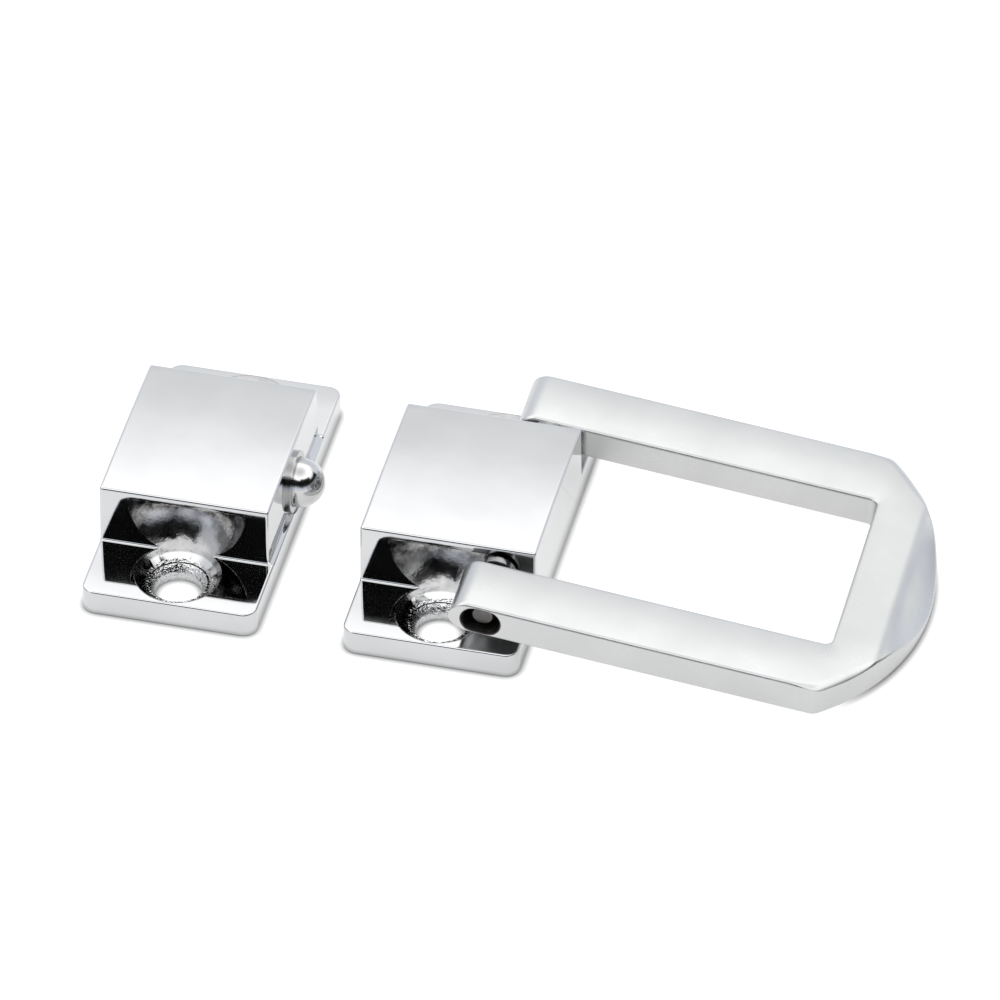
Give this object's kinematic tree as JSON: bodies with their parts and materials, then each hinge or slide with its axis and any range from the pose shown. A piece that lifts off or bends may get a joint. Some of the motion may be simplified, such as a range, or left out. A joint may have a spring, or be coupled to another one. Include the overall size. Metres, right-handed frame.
{
  "type": "swing bail window latch",
  "caption": "Surface-mounted swing-bail latch for a window or shutter: a hinged loop flips from its base over a keeper block that has a spring-loaded nose catch.",
  "frame": {"origin": "on the base unit's mounting face, midway between its two screw holes", "axes": "+Z out of the mounting surface, +X from the keeper towards the open bail's end, +Y along the units, to the back"},
  "size_m": [0.0912, 0.0404, 0.0104],
  "materials": {
    "polished_chrome": "mirror-polished chrome plating",
    "satin_chrome": "satin chrome plating",
    "steel": "turned stainless steel",
    "spring_steel": "drawn spring wire"
  },
  "bodies": {
    "base": {"base_body": "polished_chrome", "pivot_pin": "steel", "front_pivot_washer": "steel", "back_pivot_washer": "steel"},
    "bail": {"bail": "satin_chrome"},
    "keeper": {"keeper_body": "polished_chrome", "catch_ferrule": "steel", "catch_spring": "spring_steel"},
    "catch_nose": {"catch_plunger": "polished_chrome"}
  },
  "joints": [
    {"name": "bail_swing", "type": "hinge", "parent": "base", "child": "bail", "pos_m": [0.0058, 0, 0.00735], "axis": [0, -1, 0], "range_deg": [0, 189]},
    {"name": "keeper_close", "type": "slide", "parent": "base", "child": "keeper", "axis": [1, 0, 0], "range_m": [0, 0.00885]},
    {"name": "nose_press", "type": "slide", "parent": "keeper", "child": "catch_nose", "axis": [-1, 0, 0], "range_m": [0, 0.0022], "stiffness_N_per_m": 1500, "springref_m": -0.0015, "deforming": ["catch_spring"]}
  ],
  "couplings": [
    {"joint": "keeper_close", "follows": "bail_swing", "m_per_rad": 0.00268}
  ]
}
